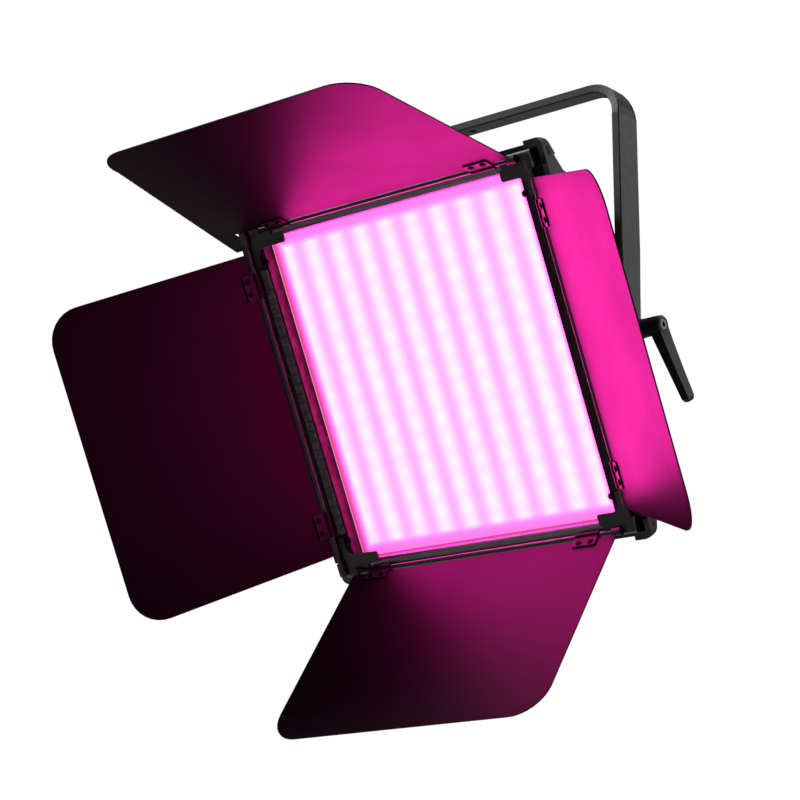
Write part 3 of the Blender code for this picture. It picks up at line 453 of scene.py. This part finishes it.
def plain(name, metallic=0.0):
    """A small hidden or sealed part: its colour with light mottling."""
    shader = Shader(name)
    colour, roughness = FINISHES[name]
    cloud = shader.noise(shader.coordinates(), PLAIN_GRAIN, 3.0)
    tone = shader.blend(shader.spread(cloud, 0.35, 0.65, 0.0, 1.0), colour, scaled(colour, 0.8))
    sheen = shader.spread(cloud, 0.3, 0.7, roughness - 0.04, roughness + 0.05)
    shader.set(Base_Color=tone, Roughness=sheen, Metallic=metallic)
    return shader.material


def dress(material, *names):
    for name in names:
        if not nodes[name].material_slots:
            nodes[name].data.materials.append(material)
        for slot in nodes[name].material_slots:
            slot.material = material


def named(start):
    return [name for name in nodes if name.startswith(start)]


def dress_frame():
    black = moulded_plastic("black_plastic")
    dress(powder_coat("yoke_paint"), "yoke_bracket")
    for side in SIDES:
        dress(leaf_paint(side, leaf_outward(side)), f"leaf_{side}")
    dress(powder_coat("case_paint"), "housing_shell", "back_cover")
    dress(black, "lever_handle", "control_plate", "power_rocker", "power_inlet")
    dress(black, "pivot_boss_left", "pivot_boss_right", *named("corner_bumper"))
    dress(moulded_plastic("bracket_plastic"), *named("door_bracket"))
    dress(drawn_metal("black_zinc", 0), "left_pivot_bolt", "clamp_stud", "lever_screw", "data_port")
    dress(black_steel(), *named("leaf_clip"))
    dress(drawn_metal("bezel_across", 0), "bezel_rail_top", "bezel_rail_bottom")
    dull = powder_coat("bezel_side_paint", BEZEL_SIDE_GLOSS)
    dress(dull, "bezel_rail_left", "bezel_rail_right")
    dress(drawn_metal("rod_steel", 0), "door_rod_top", "door_rod_bottom")
    dress(drawn_metal("rod_steel_up", 2), "door_rod_left", "door_rod_right")
    dress(opal_diffuser(), "diffuser")
    dress(plain("tray_white"), "reflector_tray")
    dress(plain("solder_mask"), "led_board", "driver_board")
    dress(plain("raw_aluminium", 1.0), "heat_sink")
    dress(plain("nylon"), "friction_disc_left", "friction_disc_right")
    dress(plain("window"), "display_window")
    rubber = moulded_plastic("knob_rubber", RUBBER_GRAIN)
    dress(rubber, "brightness_knob", "colour_knob", *named("push_button"))


# ---------------------------------------------------------------- fasteners and small detail
def turned_head(name, profile, socket_radius, socket_depth):
    """A screw head turned from (radius, height) pairs, with a recess in its top."""
    bm = bmesh.new()
    rings = [ring_of(bm, radius, height) for radius, height in profile]
    top = profile[-1][1]
    rings.append(ring_of(bm, socket_radius, top, SOCKET_CORNERS))
    rings.append(ring_of(bm, socket_radius, top - socket_depth, SOCKET_CORNERS))
    join_rings(bm, rings)
    return new_piece(name, bm)


def ring_of(bm, radius, height, corners=0):
    """A ring of vertices, round or pulled in to a polygon with some corners."""
    ring = []
    for index in range(SCREW_SIDES):
        angle = 2 * math.pi * index / SCREW_SIDES
        reach = radius
        if corners:
            step = 2 * math.pi / corners
            offset = (angle % step) - step / 2
            reach = radius * math.cos(step / 2) / math.cos(offset)
        ring.append(bm.verts.new((reach * math.cos(angle), reach * math.sin(angle), height)))
    return ring


def join_rings(bm, rings):
    """Faces between each ring and the next, and over both ends."""
    for lower, upper in zip(rings, rings[1:]):
        count = len(lower)
        for index in range(count):
            after = (index + 1) % count
            bm.faces.new((lower[index], lower[after], upper[after], upper[index]))
    bm.faces.new(rings[0][::-1])
    bm.faces.new(rings[-1])


def new_piece(name, bm):
    """A new object from a finished mesh, smooth but for its sharp edges."""
    bmesh.ops.recalc_face_normals(bm, faces=bm.faces)
    mesh = bpy.data.meshes.new(name)
    bm.to_mesh(mesh)
    bm.free()
    mesh.shade_smooth()
    mesh.set_sharp_from_angle(angle=math.radians(SHARP_ANGLE))
    piece = bpy.data.objects.new(name, mesh)
    bpy.context.scene.collection.objects.link(piece)
    return piece


def set_piece(piece, place, body, material):
    piece.matrix_world = place
    piece.data.materials.append(material)
    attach(piece, body)


def pan_screw(name, radius, height, place, body, material):
    """A pan-head socket screw: its underside is at the placing matrix's origin, its head along z."""
    profile = [(radius * out, height * up) for out, up in PAN_PROFILE]
    piece = turned_head(name, profile, radius * SOCKET_SHARES[0], height * SOCKET_SHARES[1])
    set_piece(piece, place, body, material)


def facing(origin, normal, side):
    """A placing matrix with its z along a normal and its x along another direction."""
    normal = Vector(normal).normalized()
    side = (Vector(side) - normal * normal.dot(Vector(side))).normalized()
    return axes_matrix(Vector(origin), side, normal.cross(side), normal)


def clip_screws(material):
    """Two screws on each clip's plate, on the side that faces the beam."""
    for side in SIDES:
        joint = joints[f"door_{side}_swing"]
        hinge = Vector(joint["pos_m"])
        along_rod = Vector(joint["axis"]).normalized()
        inward = -leaf_outward(side)
        along_leaf = inward.cross(along_rod)
        leaf_centre = Vector(np.array(node_points(f"leaf_{side}")).mean(axis=0))
        if along_leaf.dot(leaf_centre - hinge) < 0:
            along_leaf.negate()
        for index in (1, 2):
            points = [Vector(point) - hinge for point in node_points(f"leaf_clip_{side}_{index}")]
            along = [point.dot(along_rod) for point in points]
            middle = (max(along) + min(along)) / 2
            reach = max(point.dot(along_leaf) for point in points)
            plate = [point for point in points if point.dot(along_leaf) > CLIP_PLATE_FROM * reach]
            face = max(point.dot(inward) for point in plate)
            for end in (-1, 1):
                spot = hinge + along_rod * (middle + end * CLIP_SCREW_SPACING / 2)
                spot += along_leaf * reach * CLIP_SCREW_OUT + inward * face
                pan_screw(f"clip_screw_{side}_{index}_{end + 2}", *CLIP_SCREW,
                          facing(spot, inward, along_rod), f"door_{side}", material)


def rail_screws(material):
    """A small screw on each side rail near its corner, standing a little over the opening."""
    turn = LIGHT.to_3x3()
    front = turn @ Vector((0, -1, 0))
    right = turn @ Vector((1, 0, 0))
    for corner, x, z in CORNERS:
        low, high = box_in(LIGHT, f"bezel_rail_{'right' if x > 0 else 'left'}")
        edge = min(abs(low.x), abs(high.x))
        spot = LIGHT @ Vector((x * (edge + RAIL_SCREW_IN), low.y, z * RAIL_SCREW_UP))
        pan_screw(f"rail_screw_{corner}", *RAIL_SCREW, facing(spot, front, right), "head", material)


def rail_ribs(material):
    """Low pads in a row along the left rail's face."""
    low, high = box_in(LIGHT, "bezel_rail_left")
    bm = bmesh.new()
    for index in range(RIB_COUNT):
        z = (index - (RIB_COUNT - 1) / 2) * RIB_PITCH
        add_pad(bm, high.x - RIB_IN, low.y, z)
    set_piece(new_piece("rail_ribs", bm), LIGHT.copy(), "head", material)


def add_pad(bm, x, y, z):
    """One pad with sloped sides, standing forward from the rail's face."""
    rings = []
    for grow, depth in ((0.0, 0.0), (0.0, -RIB_HEIGHT * 0.5), (-RIB_HEIGHT, -RIB_HEIGHT)):
        half_x = RIB_HALF[0] + grow
        half_z = RIB_HALF[1] + grow
        corners = ((-half_x, -half_z), (half_x, -half_z), (half_x, half_z), (-half_x, half_z))
        rings.append([bm.verts.new((x + a, y + depth, z + b)) for a, b in corners])
    join_rings(bm, rings)


def slot_trims(rim, dark):
    """A raised rim on the outer side of each corner guard, around a near-black plate that is painted
    shade for the slot's hollow.
    """
    turn = LIGHT.to_3x3()
    for corner, x, z in CORNERS:
        low, high = box_in(LIGHT, f"corner_bumper_{corner}")
        face = high.x if x > 0 else low.x
        centre = Vector((face, SLOT_DEPTH, z * (max(abs(low.z), abs(high.z)) - SLOT_DOWN)))
        place = facing(LIGHT @ centre, turn @ Vector((x, 0, 0)), turn @ Vector((0, 0, 1)))
        slot_plate(f"bumper_slot_rim_{corner}", SLOT_RIM, SLOT_RIM_HEIGHT, place, rim)
        # painted shade: a near-black plate where the slot's hollow would be
        slot_plate(f"bumper_slot_painted_shade_{corner}", 0.0, SLOT_SHADE_PLATE_HEIGHT, place, dark)


def slot_plate(name, grow, height, place, material):
    """A low plate in the slot's outline, with a softened top edge."""
    bm = bmesh.new()
    rings = []
    for level, less in ((0.0, 0.0), (height, 0.0), (height + SLOT_SOFT[1], SLOT_SOFT[0])):
        rings.append(stadium(bm, SLOT_HALF + grow - less, SLOT_ROUND + grow - less, level))
    join_rings(bm, rings)
    set_piece(new_piece(name, bm), place, "head", material)


def stadium(bm, half_length, radius, height):
    """A ring with straight sides and round ends, along x."""
    ring = []
    for start, sign in ((-90, 1), (90, -1)):
        for step in range(ROUND_END_STEPS + 1):
            angle = math.radians(start + 180 * step / ROUND_END_STEPS)
            x = sign * (half_length - radius) + radius * math.cos(angle)
            ring.append(bm.verts.new((x, radius * math.sin(angle), height)))
    return ring


def rear_screws(material):
    """Cover screws around the back, and one in each corner of the control plate."""
    turn = LIGHT.to_3x3()
    back = turn @ Vector((0, 1, 0))
    right = turn @ Vector((1, 0, 0))
    for node, radius, inset, columns in REAR_SCREWS:
        low, high = box_in(LIGHT, node)
        for column in range(columns):
            x = low.x + inset + (high.x - low.x - 2 * inset) * column / (columns - 1)
            for row, z in (("low", low.z + inset), ("high", high.z - inset)):
                place = facing(LIGHT @ Vector((x, high.y, z)), back, right)
                pan_screw(f"{node}_screw_{row}_{column + 1}", radius, radius * REAR_SCREW_RISE,
                          place, "head", material)


def knob_grips(material):
    """A ring of fine ribs around each of the two knobs."""
    for node, body in (("brightness_knob", "brightness"), ("colour_knob", "colour")):
        low, high = box_in(LIGHT, node)
        centre = (low + high) / 2
        bm = bmesh.new()
        for index in range(KNOB_RIBS):
            add_knob_rib(bm, 2 * math.pi * index / KNOB_RIBS, high.y - low.y)
        place = LIGHT @ Matrix.Translation((centre.x, low.y, centre.z))
        set_piece(new_piece(f"{node}_grip", bm), place, body, material)


def add_knob_rib(bm, angle, height):
    """A thin wedge up the knob's side, with its foot inside the knob."""
    out = Vector((math.cos(angle), 0.0, math.sin(angle)))
    across = Vector((-math.sin(angle), 0.0, math.cos(angle)))
    half = across * KNOB_RIB_HALF
    crest = half * KNOB_RIB_CREST
    rings = []
    for share, radius in KNOB_RIB_STATIONS:
        up = Vector((0.0, height * share, 0.0))
        inner = out * (radius - KNOB_RIB_ROOT) + up
        outer = out * radius + up
        corners = (inner - half, outer - crest, outer + crest, inner + half)
        rings.append([bm.verts.new(corner) for corner in corners])
    join_rings(bm, rings)


def round_edges():
    """Small bevels on the cast, moulded and bent pieces."""
    widths = dict(EDGE_WIDTHS)
    for family, width in EDGE_FAMILIES.items():
        widths.update({name: width for name in named(family)})
    widths.update({f"leaf_{side}": LEAF_EDGE for side in SIDES})
    for name, width in widths.items():
        bevel = nodes[name].modifiers.new("edge", "BEVEL")
        bevel.width = width
        bevel.segments = 2
        bevel.limit_method = "ANGLE"
        bevel.angle_limit = math.radians(SHARP_ANGLE)


def add_detail():
    screw = drawn_metal("screw_steel", 0)
    dark_screw = black_steel()
    clip_screws(dark_screw)
    rail_screws(dark_screw)
    rail_ribs(powder_coat("rib_paint"))
    slot_trims(moulded_plastic("slot_rim"), plain("slot_painted_shade"))
    rear_screws(screw)
    knob_grips(moulded_plastic("grip_rubber", RUBBER_GRAIN))
    round_edges()


# ---------------------------------------------------------------- stage
def build_camera():
    azimuth = math.radians(CAMERA_AZIMUTH)
    elevation = math.radians(CAMERA_ELEVATION)
    level = math.cos(elevation)
    ahead = Vector((-math.sin(azimuth) * level, math.cos(azimuth) * level, math.sin(elevation)))
    data = bpy.data.cameras.new("camera")
    data.lens = CAMERA_LENS
    data.sensor_width = CAMERA_SENSOR
    data.clip_start, data.clip_end = CAMERA_CLIP
    camera = bpy.data.objects.new("camera", data)
    bpy.context.scene.collection.objects.link(camera)
    aim(camera, LIGHT.translation + CAMERA_OFFSET, ahead)
    bpy.context.scene.camera = camera


def aim(thing, place, ahead):
    """Put a camera or a lamp in place, looking along a direction."""
    thing.location = place
    thing.rotation_mode = "QUATERNION"
    thing.rotation_quaternion = ahead.to_track_quat("-Z", "Y")


def area_light(name, place, target, size, power):
    data = bpy.data.lights.new(name, "AREA")
    data.shape = "DISK"
    data.size = size
    data.energy = power
    lamp = bpy.data.objects.new(name, data)
    bpy.context.scene.collection.objects.link(lamp)
    aim(lamp, place, Vector(target) - Vector(place))


def overhead():
    """A soft light from straight above, which keeps the floor pale from every side."""
    data = bpy.data.lights.new("overhead", "SUN")
    data.energy = SUN_ENERGY
    data.angle = math.radians(SUN_ANGLE)
    bpy.context.scene.collection.objects.link(bpy.data.objects.new("overhead", data))


def build_world():
    """A faint white light all round, behind a backdrop that the camera sees as full white."""
    world = bpy.data.worlds.new("studio")
    bpy.context.scene.world = world
    world.use_nodes = True
    tree = world.node_tree
    soft = tree.nodes["Background"]
    backdrop = tree.nodes.new("ShaderNodeBackground")
    for background, strength in ((soft, WORLD_LIGHT), (backdrop, WORLD_BACKDROP)):
        background.inputs["Color"].default_value = (1.0, 1.0, 1.0, 1.0)
        background.inputs["Strength"].default_value = strength
    path = tree.nodes.new("ShaderNodeLightPath")
    mix = tree.nodes.new("ShaderNodeMixShader")
    tree.links.new(path.outputs["Is Camera Ray"], mix.inputs["Fac"])
    tree.links.new(soft.outputs["Background"], mix.inputs[1])
    tree.links.new(backdrop.outputs["Background"], mix.inputs[2])
    tree.links.new(mix.outputs["Shader"], tree.nodes["World Output"].inputs["Surface"])
    bpy.context.scene.view_settings.view_transform = "Standard"


def build_floor():
    mesh = bpy.data.meshes.new("floor")
    corners = [(x * FLOOR_HALF, y * FLOOR_HALF, 0) for x, y in ((-1, -1), (1, -1), (1, 1), (-1, 1))]
    mesh.from_pydata(corners, [], [(0, 1, 2, 3)])
    floor = bpy.data.objects.new("floor", mesh)
    floor.location = (0.0, 0.0, -FLOOR_DROP)
    bpy.context.scene.collection.objects.link(floor)
    shader = Shader("floor")
    grey = shader.noise(shader.coordinates(), 3.0, 2.0)
    shader.set(Base_Color=shader.blend(grey, *FLOOR_GREYS), Roughness=0.7)
    mesh.materials.append(shader.material)


def build_stage():
    build_world()
    build_floor()
    overhead()
    for lamp in LAMPS:
        area_light(*lamp)


dress_frame()
add_detail()
build_camera()
build_stage()
